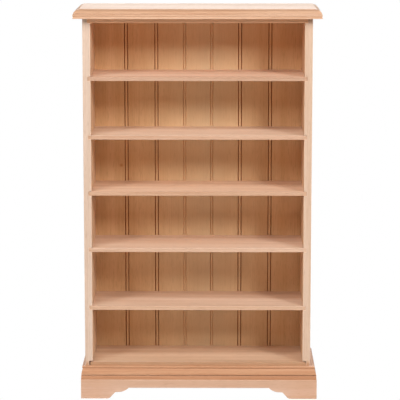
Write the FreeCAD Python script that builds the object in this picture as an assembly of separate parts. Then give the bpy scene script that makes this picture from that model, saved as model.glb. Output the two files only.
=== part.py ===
import FreeCAD, Part
import os

from FreeCAD import Vector

# Miniature bookcase at one twelfth of full size, in millimetres.
# +Z is up and the front faces -Y. The origin is on the floor, under the middle
# of the whole object's width and depth.

# --- Driving dimensions -------------------------------------------------------

overall_height = 178.25
case_width = 103.0
side_thickness = 3.5
shelf_thickness = 1.8

# Upper faces of the five shelves, from the top one down, then of the deck.
shelf_heights = [147.75, 121.25, 95.65, 69.75, 42.85]
deck_height = 16.55

# The back panel sits in rebates, so the shelves are as deep as the clear space.
clear_depth = 32.8
back_thickness = 2.2
back_rebate_width = 1.7

# Housings cut across the sides for the ends of the horizontal boards.
housing_depth = 1.35
deck_housing_depth = 1.7
shelf_end_gap = 0.1
shelf_top_gap = 0.08
deck_left_end_gap = 0.5
deck_top_gap = 0.5

# Top board: overhang beyond the case, and the parts of its worked edge. Points on
# the edge are an overhang and a height above the board's underside.
top_thickness = 4.22
top_overhang = 4.1
top_arris_overhang = 1.35
top_step = 0.22
top_ledge = 0.1
top_ovolo_foot = (3.9, 2.3)
top_quirk_floor = (3.5, 2.1)
top_quirk_foot = 1.85
top_hollow_top = 1.3
top_hollow_foot = 0.35
top_hollow_depth = 0.15
case_top_thickness = 2.1

# Beads of the back panel: a bead lies between each pair of upright grooves.
bead_centres = [6.3, 19.4, 33.4]
bead_widths = [1.0, 1.38, 1.38]
groove_width = 0.4
groove_depth = 0.6

# Base moulding: a small bead over a large one, then a quirk and a flat band. All
# of it stands off the case by these distances.
moulding_bottom = 8.85
moulding_top = 15.1
small_bead_top_projection = 1.5
small_bead_middle = (1.75, 14.5)
notch = (1.3, 14.0)
large_bead_top = (1.5, 13.8)
large_bead_middle = (2.0, 12.45)
large_bead_foot = (2.3, 11.1)
quirk_floor = (1.3, 10.93)
band_top = (2.35, 10.7)

# Plinth boards, flush with the foot of the moulding, with bracket feet below.
plinth_projection = 2.5
arch_height = 5.05

# The whole base is fixed this far to the right of the case's middle, so its left
# returns stand off the case by less than its right returns.
base_offset = 0.55

# Bracket foot: each corner of its outline as a distance in from where the flat
# sole ends and a height above the floor. The sole's own length is given apart.
front_sole = 12.1
side_sole = 4.6
toe_middle = (1.0, 0.3)
toe_end = (1.75, 1.0)
slant_end = (3.6, 3.0)
lobe_start = (5.0, 3.07)
lobe_middle = (8.1, 3.8)
lobe_end = (9.6, 4.85)
arch_start = (9.8, arch_height)

# --- Worked out from the driving dimensions -----------------------------------

half_width = case_width / 2
inner_half_width = half_width - side_thickness
case_depth = clear_depth + back_thickness
top_underside = overall_height - top_thickness
case_top_underside = top_underside - case_top_thickness
case_bottom = arch_height
deck_underside = deck_height - shelf_thickness

# The front plane of the case, so that the whole object is centred on the origin.
case_front = (top_overhang - case_depth) / 2
case_back = case_front + case_depth
shelf_back = case_front + clear_depth

# How far the base's returns stand off the case, as a share of what the front does.
base_share = {-1: 1 - base_offset / plinth_projection, 1: 1 + base_offset / plinth_projection}
even_share = {-1: 1, 1: 1}
moulding_reach = band_top[0]

# How far cutting shapes run past what they cut.
margin = 5.0


def box(x_low, x_high, y_low, y_high, z_low, z_high):
    """A rectangular block between two corners."""
    size = Vector(x_high - x_low, y_high - y_low, z_high - z_low)
    return Part.makeBox(size.x, size.y, size.z, Vector(x_low, y_low, z_low))


def closed_face(start, steps, place):
    """A face from an outline of straight steps (end,) and arcs (middle, end)."""
    edges = []
    here = start
    for step in steps:
        end = step[-1]
        if len(step) == 1:
            edge = Part.LineSegment(place(*here), place(*end))
        else:
            edge = Part.Arc(place(*here), place(*step[0]), place(*end))
        edges.append(edge.toShape())
        here = end
    return Part.Face(Part.Wire(edges))


def prism(corners, z_low, z_high):
    """An upright prism over a flat outline with straight sides."""
    points = [Vector(x, y, z_low) for x, y in corners]
    outline = Part.makePolygon(points + points[:1])
    return Part.Face(outline).extrude(Vector(0, 0, z_high - z_low))


# --- Strips that go round the front and the two ends, mitred at the corners ----

def front_strip(start, steps, reach, share):
    """A moulded strip along the front, with a mitre at each end.

    The outline is in steps of (distance out from the case, height).
    """
    x_left = -half_width - reach * share[-1]
    x_right = half_width + reach * share[1]
    face = closed_face(start, steps, lambda out, z: Vector(x_left, case_front - out, z))
    run = face.extrude(Vector(x_right - x_left, 0, 0))
    corners = [
        (-half_width, case_front),
        (x_left, case_front - reach),
        (x_right, case_front - reach),
        (half_width, case_front),
    ]
    return run.common(prism(corners, 0, overall_height + margin))


def side_strip(start, steps, reach, share, hand):
    """A moulded strip along one side, mitred at the front and square at the back.

    The hand is -1 for the left side and 1 for the right side.
    """
    y_start = case_front - reach
    outer = hand * (half_width + reach * share[hand])

    def place(out, z):
        return Vector(hand * (half_width + out * share[hand]), y_start, z)

    run = closed_face(start, steps, place).extrude(Vector(0, case_back - y_start, 0))
    corners = [
        (hand * half_width, case_front),
        (outer, y_start),
        (outer, case_back),
        (hand * half_width, case_back),
    ]
    return run.common(prism(corners, 0, overall_height + margin))


# --- Top ------------------------------------------------------------------------

def top_edge_outline():
    """Worked edge of the top: a step, a ledge, an ovolo, a quirk and a shallow hollow."""
    step_z = overall_height - top_step
    ovolo_top = (top_arris_overhang + top_ledge, step_z)
    ovolo_foot = (top_ovolo_foot[0], top_underside + top_ovolo_foot[1])
    bulge = 0.65
    ovolo_middle = (
        ovolo_top[0] + (ovolo_foot[0] - ovolo_top[0]) * bulge,
        ovolo_foot[1] + (ovolo_top[1] - ovolo_foot[1]) * bulge,
    )
    hollow_top = (top_overhang, top_underside + top_hollow_top)
    hollow_foot = (top_overhang, top_underside + top_hollow_foot)
    hollow_middle = (top_overhang - top_hollow_depth, (hollow_top[1] + hollow_foot[1]) / 2)
    start = (0, overall_height)
    steps = [
        ((top_arris_overhang, overall_height),),
        ((top_arris_overhang, step_z),),
        (ovolo_top,),
        (ovolo_middle, ovolo_foot),
        ((top_quirk_floor[0], top_underside + top_quirk_floor[1]),),
        ((top_overhang, top_underside + top_quirk_foot),),
        (hollow_top,),
        (hollow_middle, hollow_foot),
        ((top_overhang, top_underside),),
        ((0, top_underside),),
        (start,),
    ]
    return start, steps


def make_top_board():
    """The overhanging top, worked from one board."""
    start, steps = top_edge_outline()
    board = box(-half_width, half_width, case_front, case_back, top_underside, overall_height)
    strips = [
        front_strip(start, steps, top_overhang, even_share),
        side_strip(start, steps, top_overhang, even_share, -1),
        side_strip(start, steps, top_overhang, even_share, 1),
    ]
    return board.fuse(strips).removeSplitter()


def make_case_top():
    """The board that closes the case, housed in the tops of the sides."""
    x_end = inner_half_width + housing_depth
    return box(-x_end, x_end, case_front, shelf_back, case_top_underside, top_underside)


# --- Sides ----------------------------------------------------------------------

def make_side(hand):
    """A side board with through housings and a rebate for the back panel."""
    inner, outer = hand * inner_half_width, hand * half_width
    board = box(min(inner, outer), max(inner, outer), case_front, case_back, case_bottom, top_underside)
    mouth = hand * (inner_half_width - margin)
    cuts = []

    def cut_housing(depth, z_low, z_high):
        housing_floor = hand * (inner_half_width + depth)
        x_low, x_high = min(mouth, housing_floor), max(mouth, housing_floor)
        cuts.append(box(x_low, x_high, case_front - margin, shelf_back, z_low, z_high))

    for height in shelf_heights:
        cut_housing(housing_depth, height - shelf_thickness, height + shelf_top_gap)
    cut_housing(deck_housing_depth, deck_underside, deck_height + deck_top_gap)
    cut_housing(housing_depth, case_top_underside, top_underside + margin)

    rebate_floor = hand * (inner_half_width + back_rebate_width)
    x_low, x_high = min(mouth, rebate_floor), max(mouth, rebate_floor)
    cuts.append(box(x_low, x_high, shelf_back, case_back + margin, 0, overall_height))
    return board.cut(cuts)


# --- Horizontal boards ------------------------------------------------------------

def make_shelf(height):
    """A shelf whose ends stand in the housings of both sides."""
    x_end = inner_half_width + housing_depth - shelf_end_gap
    return box(-x_end, x_end, case_front, shelf_back, height - shelf_thickness, height)


def make_bottom_shelf():
    """The deck, cut a little short at its left end."""
    housing_end = inner_half_width + deck_housing_depth
    x_low, x_high = deck_left_end_gap - housing_end, housing_end - shelf_end_gap
    return box(x_low, x_high, case_front, shelf_back, deck_underside, deck_height)


# --- Back -----------------------------------------------------------------------

def make_back_panel():
    """One sheet with pairs of upright V grooves, each pair with a bead between."""
    x_end = inner_half_width + back_rebate_width
    panel = box(-x_end, x_end, shelf_back, case_back, case_bottom, top_underside)
    grooves = []
    for centre, width in zip(bead_centres, bead_widths):
        for hand in (-1, 1):
            for edge in (-width / 2, width / 2):
                x = hand * centre + edge
                corners = [
                    (x - groove_width / 2, shelf_back),
                    (x, shelf_back + groove_depth),
                    (x + groove_width / 2, shelf_back),
                ]
                grooves.append(prism(corners, 0, overall_height))
    return panel.cut(grooves)


# --- Base -----------------------------------------------------------------------

def base_moulding_outline():
    """A small bead with a flat top, a notch, a large bead, a quirk and a band."""
    start = (0, moulding_top)
    steps = [
        ((small_bead_top_projection, moulding_top),),
        (small_bead_middle, notch),
        (large_bead_top,),
        (large_bead_middle, large_bead_foot),
        (quirk_floor,),
        (band_top,),
        ((moulding_reach, moulding_bottom),),
        ((0, moulding_bottom),),
        (start,),
    ]
    return start, steps


def plinth_outline():
    """A flat board."""
    start = (0, moulding_bottom)
    steps = [
        ((plinth_projection, moulding_bottom),),
        ((plinth_projection, 0),),
        ((0, 0),),
        (start,),
    ]
    return start, steps


def arch_face(first, last, sole, place):
    """The opening between two bracket feet, from one end of a board to the other."""
    def left(point):
        return (first + sole + point[0], point[1])

    def right(point):
        return (last - sole - point[0], point[1])

    start = left((0, 0))
    steps = [
        (left(toe_middle), left(toe_end)),
        (left(slant_end),),
        (left(lobe_start),),
        (left(lobe_middle), left(lobe_end)),
        (left(arch_start),),
        (right(arch_start),),
        (right(lobe_end),),
        (right(lobe_middle), right(lobe_start)),
        (right(slant_end),),
        (right(toe_end),),
        (right(toe_middle), right((0, 0))),
        (right((0, -margin)),),
        (left((0, -margin)),),
        (start,),
    ]
    return closed_face(start, steps, place)


def make_plinth_front():
    """The front plinth board with its two feet."""
    start, steps = plinth_outline()
    board = front_strip(start, steps, plinth_projection, base_share)
    x_left = -half_width - plinth_projection * base_share[-1]
    x_right = half_width + plinth_projection * base_share[1]
    y_start = case_front - plinth_projection - margin
    arch = arch_face(x_left, x_right, front_sole, lambda x, z: Vector(x, y_start, z))
    return board.cut(arch.extrude(Vector(0, plinth_projection + 2 * margin, 0)))


def make_plinth_side(hand):
    """A side plinth board with a front and a rear foot."""
    start, steps = plinth_outline()
    board = side_strip(start, steps, plinth_projection, base_share, hand)
    y_start = case_front - plinth_projection
    x_start = hand * half_width - (plinth_projection + margin)
    arch = arch_face(y_start, case_back, side_sole, lambda y, z: Vector(x_start, y, z))
    return board.cut(arch.extrude(Vector(2 * (plinth_projection + margin), 0, 0)))


# --- All the pieces ---------------------------------------------------------------

def make_pieces():
    """Every separate piece of the bookcase, by its node name."""
    pieces = {
        "top_board": make_top_board(),
        "case_top": make_case_top(),
        "bottom_shelf": make_bottom_shelf(),
        "back_panel": make_back_panel(),
        "plinth_front": make_plinth_front(),
    }
    for number, height in enumerate(shelf_heights, start=1):
        pieces[f"shelf_{number}"] = make_shelf(height)
    start, steps = base_moulding_outline()
    pieces["base_moulding_front"] = front_strip(start, steps, moulding_reach, base_share)
    for side, hand in (("left", -1), ("right", 1)):
        pieces[f"side_{side}"] = make_side(hand)
        return_strip = side_strip(start, steps, moulding_reach, base_share, hand)
        pieces[f"base_moulding_{side}"] = return_strip
        pieces[f"plinth_{side}"] = make_plinth_side(hand)
    return pieces


def single_solid(shape):
    """The one solid that a piece is made of."""
    if len(shape.Solids) != 1 or not shape.isValid():
        raise ValueError("a piece must be one valid solid")
    return shape.Solids[0]


os.makedirs("parts", exist_ok=True)
for name, shape in make_pieces().items():
    single_solid(shape).exportStep(f"parts/{name}.step")
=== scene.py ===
import math
import random

import bmesh
import bpy
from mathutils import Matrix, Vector


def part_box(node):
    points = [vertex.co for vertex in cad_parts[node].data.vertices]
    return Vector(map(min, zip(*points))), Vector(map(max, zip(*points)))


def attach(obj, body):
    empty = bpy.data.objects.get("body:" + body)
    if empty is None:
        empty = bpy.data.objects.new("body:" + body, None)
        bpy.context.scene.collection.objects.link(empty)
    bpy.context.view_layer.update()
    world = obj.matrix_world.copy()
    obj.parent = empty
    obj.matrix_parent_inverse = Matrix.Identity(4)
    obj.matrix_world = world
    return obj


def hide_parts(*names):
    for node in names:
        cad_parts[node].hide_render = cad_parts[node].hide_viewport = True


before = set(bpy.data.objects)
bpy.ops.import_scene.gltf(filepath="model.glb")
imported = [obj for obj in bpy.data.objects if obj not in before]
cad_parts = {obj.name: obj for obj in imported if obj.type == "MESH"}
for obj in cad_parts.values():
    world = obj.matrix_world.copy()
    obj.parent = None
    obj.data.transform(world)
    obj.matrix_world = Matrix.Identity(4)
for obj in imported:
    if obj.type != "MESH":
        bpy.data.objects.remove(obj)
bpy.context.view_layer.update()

# Miniature bookcase in bare beech. Its shapes and their places come from the frame, in metres.
MM = 0.001
ROOT = "root"

# Front faces of the case (without the mouldings that stand off it), plinth and back.
case_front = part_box("side_left")[0].y
plinth_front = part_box("plinth_front")[0].y
back_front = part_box("back_panel")[0].y


# --- Camera and stage -------------------------------------------------------------

SENSOR_MM = 36
LENS_MM = 185.84
CAMERA_PLACE = (8.65 * MM, case_front - 921.3 * MM, 244.95 * MM)
LOOKING_DOWN = math.radians(9.43)
LOOKING_LEFT = math.radians(0.47)
NEAREST, FARTHEST = 0.01, 20


def place_camera():
    """A long lens, a little above the top and a little right of the middle."""
    data = bpy.data.cameras.new("camera")
    data.sensor_width = SENSOR_MM
    data.lens = LENS_MM
    data.clip_start = NEAREST
    data.clip_end = FARTHEST
    camera = bpy.data.objects.new("camera", data)
    camera.location = CAMERA_PLACE
    camera.rotation_euler = (math.pi / 2 - LOOKING_DOWN, 0, LOOKING_LEFT)
    bpy.context.scene.collection.objects.link(camera)
    bpy.context.scene.camera = camera


# Points in the case that the softboxes are turned to.
MIDDLE = (0, 0, 0.09)
LOW_MIDDLE = (0, 0, 0.06)
WHITE = (1, 1, 1, 1)

# Name, place, point it is turned to, width and height in metres, and power in watts.
SOFTBOXES = [
    ("key_left", (-0.69, -0.82, 0.63), MIDDLE, (0.30, 0.30), 4.0),
    ("key_right", (0.66, -0.84, 0.63), MIDDLE, (0.30, 0.30), 6.5),
    ("high_left", (-0.59, -0.70, 0.86), MIDDLE, (0.30, 0.30), 1.05),
    ("high_right", (0.57, -0.72, 0.86), MIDDLE, (0.30, 0.30), 1.7),
    ("near_left", (-0.15, -0.35, 0.55), MIDDLE, (0.15, 0.15), 0.82),
    ("near_front", (0.0, -0.48, 0.44), MIDDLE, (0.15, 0.15), 0.37),
    ("behind", (0.0, 0.88, 0.28), MIDDLE, (0.6, 0.6), 5.7),
    ("sweep", (0.0, -0.16, 0.004), LOW_MIDDLE, (0.30, 0.06), 0.028),
    ("overhead", (0.0, 0.34, 0.85), MIDDLE, (0.30, 0.30), 0.5),
]
# Strength of the surround as light, and as it is seen behind the object.
SURROUND_LIGHT, SURROUND_SEEN = 0.025, 1.0


def add_lights():
    """Softboxes round a small table.

    One softbox is low behind the object and gives its top a sheen. The one called sweep
    lies on the table, for the light that the pale table throws back into the case.
    """
    for name, place, aim, size, watts in SOFTBOXES:
        data = bpy.data.lights.new(name, "AREA")
        data.shape = "RECTANGLE"
        data.size, data.size_y = size
        data.energy = watts
        softbox = bpy.data.objects.new(name, data)
        softbox.location = place
        toward = Vector(aim) - Vector(place)
        softbox.rotation_euler = toward.to_track_quat("-Z", "Y").to_euler()
        bpy.context.scene.collection.objects.link(softbox)


def add_surround():
    """A faint even light from all sides, seen as plain white."""
    world = bpy.data.worlds.new("surround")
    world.use_nodes = True
    tree = world.node_tree
    tree.nodes.clear()
    faint, plain = [
        add(tree, "ShaderNodeBackground", values={"Color": WHITE, "Strength": strength})
        for strength in (SURROUND_LIGHT, SURROUND_SEEN)
    ]
    seen = add(tree, "ShaderNodeLightPath").outputs["Is Camera Ray"]
    surround = add(tree, "ShaderNodeMixShader",
                   links={0: seen, 1: faint.outputs[0], 2: plain.outputs[0]})
    add(tree, "ShaderNodeOutputWorld", links={"Surface": surround.outputs[0]})
    bpy.context.scene.world = world


# --- Finishes -----------------------------------------------------------------------

def linear(hex_colour):
    """An sRGB hex colour as linear red, green, blue and alpha."""
    values = [int(hex_colour[i:i + 2], 16) / 255 for i in (1, 3, 5)]
    return [v / 12.92 if v <= 0.04045 else ((v + 0.055) / 1.055) ** 2.4 for v in values] + [1.0]


def add(tree, kind, settings=None, values=None, links=None):
    """Adds a node, sets its properties and input values, and links its inputs."""
    node = tree.nodes.new(kind)
    for key, value in (settings or {}).items():
        setattr(node, key, value)
    for key, value in (values or {}).items():
        node.inputs[key].default_value = value
    for key, source in (links or {}).items():
        tree.links.new(source, node.inputs[key])
    return node


def new_material(name):
    """An empty material."""
    material = bpy.data.materials.new(name)
    material.use_nodes = True
    material.node_tree.nodes.clear()
    return material


PAPER = (0.7, 0.7, 0.7, 1)
FLOOR_REACH = 6.0


def stage_finish():
    """Matt pale paper, which is seen as even white."""
    material = new_material("paper_sweep")
    tree = material.node_tree
    paper = add(tree, "ShaderNodeBsdfDiffuse", values={"Color": PAPER})
    glow = add(tree, "ShaderNodeEmission", values={"Color": WHITE, "Strength": 1.0})
    seen = add(tree, "ShaderNodeLightPath").outputs["Is Camera Ray"]
    surface = add(tree, "ShaderNodeMixShader",
                  links={0: seen, 1: paper.outputs[0], 2: glow.outputs[0]})
    add(tree, "ShaderNodeOutputMaterial", links={"Surface": surface.outputs[0]})
    return material


def lay_floor():
    """A plain pale table top that runs out of sight."""
    mesh = bpy.data.meshes.new("floor")
    signs = [(-1, -1), (1, -1), (1, 1), (-1, 1)]
    corners = [(x * FLOOR_REACH, y * FLOOR_REACH, 0) for x, y in signs]
    mesh.from_pydata(corners, [], [(0, 1, 2, 3)])
    mesh.materials.append(stage_finish())
    floor = bpy.data.objects.new("floor", mesh)
    bpy.context.scene.collection.objects.link(floor)


# Patterns in the wood, as widths across the grain and lengths along it, in mm.
FIGURE_MM = (6.0, 120.0)
# The dark line that ends a year's growth is 0.1 to 0.3 mm wide: drawn coarser, so that
# it shows.
GROWTH_MM = (0.45, 45.0)
# Beech flecks are about 0.1 mm wide: drawn coarser, so that they show.
FLECK_MM = (0.32, 3.4)
# Fibres are about 0.02 mm wide: drawn coarser, so that they show.
FIBRE_MM = (0.16, 2.4)
# Pores in cut ends are about 0.05 mm across: drawn coarser, so that they show.
PORE_MM = 0.16
RING_MM = 1.1
# Radius of a filled pin hole, and width of the faint line round it.
PLUG_RADIUS = 0.9 * MM
PLUG_LINE = 0.3 * MM
# Height that the fibres and pores give the surface.
GRAIN_DEPTH = 0.05 * MM
WOOD_IOR = 1.5


def tinted(colour, shares):
    """A linear colour with its red, green and blue each scaled."""
    return [value * share for value, share in zip(colour, shares)] + [1.0]


def stretched(tree, source, along, across_mm, along_mm, shift):
    """Coordinates in units of one pattern width across the grain and one length along it."""
    scale = [1 / (across_mm * MM)] * 3
    scale["XYZ".index(along)] = 1 / (along_mm * MM)
    return add(tree, "ShaderNodeMapping", values={"Scale": scale, "Location": shift},
               links={"Vector": source}).outputs[0]


def spread(tree, value, low, high, out_low, out_high):
    """A value moved from one range to another, and held inside it."""
    settings = {"From Min": low, "From Max": high, "To Min": out_low, "To Max": out_high}
    return add(tree, "ShaderNodeMapRange", values=settings, links={"Value": value}).outputs[0]


def blend(tree, share, first, second):
    """Two colours mixed by a share: each is a colour or the output of a node."""
    node = add(tree, "ShaderNodeMix", settings={"data_type": "RGBA"}, links={"Factor": share})
    for socket, colour in ((node.inputs[6], first), (node.inputs[7], second)):
        if isinstance(colour, list):
            socket.default_value = colour
        else:
            tree.links.new(colour, socket)
    return node.outputs[2]


def joined(tree, operation, first, second):
    """Two values put together: the second is a number or the output of a node."""
    node = add(tree, "ShaderNodeMath", settings={"operation": operation}, links={0: first})
    if isinstance(second, float):
        node.inputs[1].default_value = second
    else:
        tree.links.new(second, node.inputs[1])
    return node.outputs[0]


def off_by(tree, value, number):
    """How far a value is from a number, whether above or below it."""
    difference = joined(tree, "SUBTRACT", value, number)
    return add(tree, "ShaderNodeMath", settings={"operation": "ABSOLUTE"},
               links={0: difference}).outputs[0]


def distance(tree, place, point):
    """How far a place is from a point."""
    return add(tree, "ShaderNodeVectorMath", settings={"operation": "DISTANCE"},
               values={1: point}, links={0: place}).outputs["Value"]


def bare_wood(tree, colour, roughness, height, bump_strength, sheen):
    """Ends a material as wood without varnish. The sheen is its level of reflection."""
    bump = add(tree, "ShaderNodeBump",
               values={"Strength": bump_strength, "Distance": GRAIN_DEPTH},
               links={"Height": height})
    surface = add(tree, "ShaderNodeBsdfPrincipled",
                  values={"IOR": WOOD_IOR, "Specular IOR Level": sheen},
                  links={"Base Color": colour, "Roughness": roughness,
                         "Normal": bump.outputs[0]})
    add(tree, "ShaderNodeOutputMaterial", links={"Surface": surface.outputs[0]})


def beech(name, along, seed, tone, figure=1.0, streaks=1.0, painted_light_band=None, plug=None,
          brown_marks=()):
    """Bare beech, planed and sanded: pinkish tan, close straight grain, small dark flecks.

    Sanded and unsealed, so it is matt, with a faint sheen where the fibres lie flat.
    The pale band is a strip down the middle of the board, as (centre, half width) in mm,
    where it is drawn more yellow and less orange: painted light, as the middle of the back
    is lit more than its shaded ends. The plug is the middle of a filled pin hole, and the
    brown marks each have a middle, a reach and a strength.
    """
    material = new_material(name)
    tree = material.node_tree
    drawn = random.Random(seed)
    shift = [drawn.uniform(-40, 40) for _ in range(3)]
    place = add(tree, "ShaderNodeTexCoord").outputs["Object"]

    def noise(stretch, detail, rough, distortion=0.0):
        where = stretched(tree, place, along, stretch[0], stretch[1], shift)
        values = {"Scale": 1.0, "Detail": detail, "Roughness": rough, "Distortion": distortion}
        pattern = add(tree, "ShaderNodeTexNoise", values=values, links={"Vector": where})
        return pattern.outputs["Fac"]

    base = linear(tone)
    light_wood = tinted(base, (1.08, 1.10, 1.13))
    dark_wood = tinted(base, (0.90, 0.83, 0.76))
    streak_wood = tinted(base, (0.80, 0.64, 0.52))
    fleck_wood = tinted(base, (0.66, 0.55, 0.46))
    painted_light_yellow = tinted(base, (0.88, 1.04, 1.25))
    plug_line = tinted(base, (0.82, 0.84, 0.9))
    brown_mark_wood = tinted(base, (0.75, 0.5, 0.3))

    broad = noise(FIGURE_MM, 2.0, 0.5, 0.3)
    growth = noise(GROWTH_MM, 3.0, 0.65, 0.2)
    fleck = noise(FLECK_MM, 1.0, 0.5)
    fibre = noise(FIBRE_MM, 2.0, 0.6)

    figure_share = spread(tree, broad, 0.32, 0.68, 0.5 - 0.5 * figure, 0.5 + 0.5 * figure)
    colour = blend(tree, figure_share, light_wood, dark_wood)
    growth_share = spread(tree, growth, 0.48, 0.64, 0.0, 0.42 * streaks)
    colour = blend(tree, growth_share, colour, streak_wood)
    colour = blend(tree, spread(tree, fleck, 0.56, 0.70, 0.0, 0.32), colour, fleck_wood)
    colour = blend(tree, spread(tree, fibre, 0.35, 0.65, 0.10, 0.0), colour, dark_wood)
    # Painted light: a band down the middle drawn more yellow, as the lit middle of the back is,
    # against its shaded ends.
    if painted_light_band:
        centre, half_width = painted_light_band
        side = add(tree, "ShaderNodeSeparateXYZ", links={0: place}).outputs["X"]
        away = off_by(tree, side, centre * MM)
        share = spread(tree, away, 0.0, half_width * MM, 0.6, 0.0)
        colour = blend(tree, share, colour, painted_light_yellow)
    if plug:
        ring = off_by(tree, distance(tree, place, plug), PLUG_RADIUS)
        share = spread(tree, ring, 0.0, PLUG_LINE, 0.3, 0.0)
        colour = blend(tree, share, colour, plug_line)
    for middle, reach, strength in brown_marks:
        away = distance(tree, place, middle)
        share = spread(tree, away, 0.25 * reach, reach, strength, 0.0)
        colour = blend(tree, share, colour, brown_mark_wood)

    raised_fibres = spread(tree, fibre, 0.0, 1.0, 0.0, 0.5)
    sunk_flecks = spread(tree, fleck, 0.58, 0.70, 0.5, 0.0)
    height = joined(tree, "ADD", raised_fibres, sunk_flecks)
    roughness = spread(tree, fibre, 0.2, 0.8, 0.52, 0.7)
    bare_wood(tree, colour, roughness, height, bump_strength=0.25, sheen=0.35)
    return material


def beech_end_grain(name, along, tone):
    """Beech sawn across the grain: darker and duller, with close pores and growth rings."""
    material = new_material(name)
    tree = material.node_tree
    place = add(tree, "ShaderNodeTexCoord").outputs["Object"]
    pore_place = stretched(tree, place, along, PORE_MM, 1.0, (0, 0, 0))
    pores = add(tree, "ShaderNodeTexNoise",
                values={"Scale": 1.0, "Detail": 2.0, "Roughness": 0.6},
                links={"Vector": pore_place}).outputs["Fac"]
    ring_place = stretched(tree, place, along, RING_MM, 50.0, (3.0, 11.0, -20.0))
    rings = add(tree, "ShaderNodeTexWave",
                settings={"wave_type": "RINGS", "rings_direction": along},
                values={"Scale": 0.5, "Distortion": 2.5, "Detail": 2.0, "Detail Scale": 0.6},
                links={"Vector": ring_place}).outputs["Fac"]
    base = linear(tone)
    late_wood = tinted(base, (0.84, 0.76, 0.68))
    pore_wood = tinted(base, (0.6, 0.5, 0.42))
    colour = blend(tree, spread(tree, rings, 0.2, 0.9, 0.0, 0.6), base, late_wood)
    colour = blend(tree, spread(tree, pores, 0.5, 0.68, 0.0, 0.6), colour, pore_wood)
    roughness = spread(tree, pores, 0.3, 0.7, 0.7, 0.85)
    bare_wood(tree, colour, roughness, pores, bump_strength=0.3, sheen=0.25)
    return material


# --- Pieces -------------------------------------------------------------------------

# Places of a piece's woods in its list of materials.
FACE, END, EDGE, ARRIS = range(4)
# How squarely a face must cross the grain to show end grain.
END_GRAIN_SLOPE = 0.8
# How squarely a face must look forward to be a front edge, or up to be an upper face.
UPRIGHT = 0.995
# Faces that meet at more than this have an arris between them.
SHARP = math.radians(32)
# Faces that meet at less than this are one flat face.
FLAT = math.radians(0.6)
# Corners nearer than this are one corner.
WELD = 0.0005 * MM
# A groove's wall looks partly forward and partly aside, and hardly up or down.
LEAST_FORWARD, MOST_FORWARD, MOST_UPWARD = 0.1, 0.9, 0.5
# How far from the middle of the back its four middle grooves reach.
MIDDLE_GROOVES = 8.0 * MM


def clean_copy(node):
    """A copy of a CAD node's mesh with whole flat faces, and its outward arrises marked."""
    work = bmesh.new()
    work.from_mesh(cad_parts[node].data)
    bmesh.ops.remove_doubles(work, verts=work.verts, dist=WELD)
    bmesh.ops.dissolve_limit(work, angle_limit=FLAT, verts=work.verts, edges=work.edges)
    weight = work.edges.layers.float.new("bevel_weight_edge")
    for edge in work.edges:
        if edge.is_manifold and edge.calc_face_angle_signed() > SHARP:
            edge[weight] = 1.0
    mesh = bpy.data.meshes.new(node + "_worked")
    work.to_mesh(mesh)
    work.free()
    return mesh


def sanded_piece(name, node, arris_mm, along, woods):
    """A piece shaped as its CAD node, with sanded arrises that catch the light. The arrises take
    the fourth wood, which on most pieces is paler: a painted highlight.
    """
    mesh = clean_copy(node)
    mesh.materials.clear()
    for wood in woods:
        mesh.materials.append(wood)
    axis = "XYZ".index(along)
    for face in mesh.polygons:
        if abs(face.normal[axis]) > END_GRAIN_SLOPE:
            face.material_index = END
        elif face.normal.y < -UPRIGHT:
            face.material_index = EDGE
        else:
            face.material_index = FACE
    piece = bpy.data.objects.new(name, mesh)
    bpy.context.scene.collection.objects.link(piece)
    bevel = piece.modifiers.new("arris", "BEVEL")
    bevel.width = arris_mm * MM
    bevel.segments = 2
    bevel.limit_method = "WEIGHT"
    bevel.use_clamp_overlap = True
    bevel.material = ARRIS
    mesh.polygons.foreach_set("use_smooth", [True] * len(mesh.polygons))
    mesh.set_sharp_from_angle(angle=SHARP)
    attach(piece, ROOT)
    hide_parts(node)
    return piece


def refinish(piece, wood, chosen):
    """Gives another wood to the chosen faces of a piece."""
    mesh = piece.data
    mesh.materials.append(wood)
    for face in mesh.polygons:
        if chosen(face):
            face.material_index = len(mesh.materials) - 1


def is_groove_wall(face):
    """True for the slanted walls of the back panel's V grooves."""
    forward = abs(face.normal.y)
    return LEAST_FORWARD < forward < MOST_FORWARD and abs(face.normal.z) < MOST_UPWARD


def is_middle_groove_wall(face):
    """True for the walls of the four grooves nearest the middle, which are drawn lighter: painted
    light, as less shade falls in them.
    """
    return is_groove_wall(face) and abs(face.center.x) < MIDDLE_GROOVES


def is_upper_face(face):
    """True for a face that looks straight up."""
    return face.normal.z > UPRIGHT


# Middle of the filled pin hole in the left foot.
PLUG = (-49.2 * MM, plinth_front, 4.85 * MM)
# A brown smear of glue high on the front of the right side, the fronts of both sides drawn
# browner just above the base moulding, a small knot in the back, and the feet darkened by
# handling: the middle of each mark, its reach and its strength.
SMEAR_HIGH_RIGHT = ((49.4 * MM, case_front, 173.45 * MM), 2.0 * MM, 0.75)
BROWN_LOW_LEFT = ((-50.2 * MM, case_front, 15.4 * MM), 2.4 * MM, 0.75)
BROWN_LOW_RIGHT = ((50.2 * MM, case_front, 15.4 * MM), 2.4 * MM, 0.75)
KNOT = ((-35.9 * MM, back_front, 102.9 * MM), 1.1 * MM, 0.8)
HANDLED_LEFT = ((-50.0 * MM, plinth_front, 3.0 * MM), 14.0 * MM, 0.24)
HANDLED_RIGHT = ((50.0 * MM, plinth_front, 3.0 * MM), 14.0 * MM, 0.27)
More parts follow.
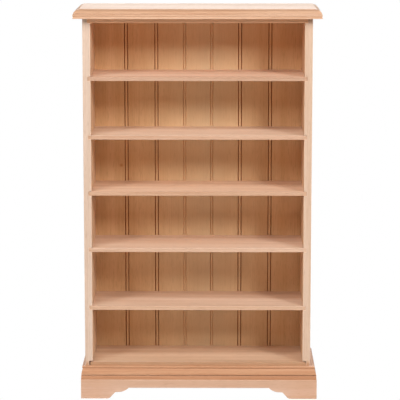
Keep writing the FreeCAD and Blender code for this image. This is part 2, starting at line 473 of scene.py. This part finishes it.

# Name, CAD node, slot, direction of the grain, wood tone of the faces and of the front
# edge (darker on the deck, shelves and mouldings: painted shade), width of the arris in mm,
# whether its arris is drawn pale as a painted highlight, and more on the wood.
PIECES = [
    ("top", "top_board", "top_wood", "X", "#CEA383", "#CEA383", 0.08, True, {"streaks": 1.6}),
    ("case_lid", "case_top", "case_wood", "X", "#F0BA8F", "#F0BA8F", 0.12, False, {}),
    ("left_side", "side_left", "side_wood", "Z", "#DCBB9B", "#D9C0AD", 0.18, True,
     {"figure": 0.6, "brown_marks": [BROWN_LOW_LEFT]}),
    ("right_side", "side_right", "side_wood", "Z", "#DEB894", "#D6B8A0", 0.18, True,
     {"figure": 0.6, "brown_marks": [SMEAR_HIGH_RIGHT, BROWN_LOW_RIGHT]}),
    # The deck's front edge tone is darker than its top: painted shade, for the shade on that edge.
    ("deck", "bottom_shelf", "shelf_wood", "X", "#E4C3A5", "#BD9472", 0.05, False, {}),
    # The back's pale band is painted light, for its lit middle.
    ("back", "back_panel", "back_wood", "Z", "#E5BB8B", "#E5BB8B", 0.06, False,
     {"figure": 0.5, "streaks": 0.8, "painted_light_band": (4.0, 34.0), "brown_marks": [KNOT]}),
    # The mouldings' upright front faces, chiefly the recessed band under the bead, take a darker,
    # more orange tone: painted shade.
    ("front_moulding", "base_moulding_front", "moulding_wood", "X", "#CF9D79", "#C28C67",
     0.10, True, {"streaks": 1.6}),
    ("left_moulding", "base_moulding_left", "moulding_wood", "Y", "#CF9D79", "#C28C67",
     0.10, True, {"streaks": 1.6}),
    ("right_moulding", "base_moulding_right", "moulding_wood", "Y", "#CF9D79", "#C28C67",
     0.10, True, {"streaks": 1.6}),
    ("front_plinth", "plinth_front", "plinth_wood", "X", "#DCB8A0", "#DCB8A0", 0.10, True,
     {"plug": PLUG, "brown_marks": [HANDLED_LEFT, HANDLED_RIGHT]}),
    ("left_plinth", "plinth_left", "plinth_wood", "Y", "#DCB8A0", "#DCB8A0", 0.10, True, {}),
    ("right_plinth", "plinth_right", "plinth_wood", "Y", "#DCB8A0", "#DCB8A0", 0.10, True, {}),
    # Each shelf's front edge tone is darker than its top: painted shade, as its front takes less
    # light than its top.
    ("shelf_board_1", "shelf_1", "shelf_wood", "X", "#EACBB2", "#C49D82", 0.10, False, {}),
    ("shelf_board_2", "shelf_2", "shelf_wood", "X", "#EBCEB6", "#D2AB90", 0.10, True, {}),
    ("shelf_board_3", "shelf_3", "shelf_wood", "X", "#EBC9AD", "#CBA385", 0.10, False, {}),
    ("shelf_board_4", "shelf_4", "shelf_wood", "X", "#ECCEB6", "#D4AF94", 0.10, True, {}),
    ("shelf_board_5", "shelf_5", "shelf_wood", "X", "#E4C5AC", "#D7B296", 0.10, True, {}),
]

# Faces with a wood of their own, all painted light and shade: piece, name of the wood, seed, tone,
# and which faces.
REFINISHED = [
    # Painted shade: the walls of the V grooves are drawn dark brown, for the shade down in the
    # grooves.
    ("back", "beech_groove_shade", 50, "#A3500F", is_groove_wall),
    # Painted light: the four middle grooves are drawn paler than the back, as they lie less in
    # shade.
    ("back", "beech_middle_groove_light", 52, "#EDC79C", is_middle_groove_wall),
    # Painted sheen: the upper face of the top is drawn paler and whiter, for the grazing
    # reflection on it.
    ("top", "beech_top_painted_sheen", 51, "#EED1BB", is_upper_face),
]
# The seed of a board's faces is its place in the list, and its edges add this to it.
EDGE_SEEDS = 30
ARRIS_SEED = 60
# Painted highlight: the paler wood on the arrises of most pieces, for a bright line along each
# edge.
ARRIS_HIGHLIGHT_TONE = "#F0D3BB"
END_TONE = "#BF9470"


def make_pieces():
    """All the boards and mouldings of the bookcase."""
    highlight_arris_woods = {}
    end_woods = {}
    for along in "XYZ":
        highlight_arris_woods[along] = beech(f"beech_arris_highlight_{along.lower()}", along, ARRIS_SEED, ARRIS_HIGHLIGHT_TONE)
    for along in "XYZ":
        end_woods[along] = beech_end_grain(f"beech_end_grain_{along.lower()}", along, END_TONE)
    for seed, (name, node, slot, along, tone, edge_tone, arris, pale, extras) in enumerate(PIECES):
        face_wood = beech(f"beech_{name}", along, seed, tone, **extras)
        edge_wood = face_wood
        # A darker front edge on the deck, shelves and mouldings is painted shade.
        if edge_tone != tone:
            edge_wood = beech(f"beech_{name}_edge", along, seed + EDGE_SEEDS, edge_tone, **extras)
        # Where pale is set, the arrises take the paler wood, a painted highlight.
        arris_wood = highlight_arris_woods[along] if pale else edge_wood
        woods = [face_wood, end_woods[along], edge_wood, arris_wood]
        piece = sanded_piece(name, node, arris, along, woods)
        for owner, wood_name, wood_seed, wood_tone, chosen in REFINISHED:
            if owner == name:
                refinish(piece, beech(wood_name, along, wood_seed, wood_tone), chosen)


place_camera()
make_pieces()
lay_floor()
add_lights()
add_surround()
bpy.context.scene.view_settings.view_transform = "Standard"
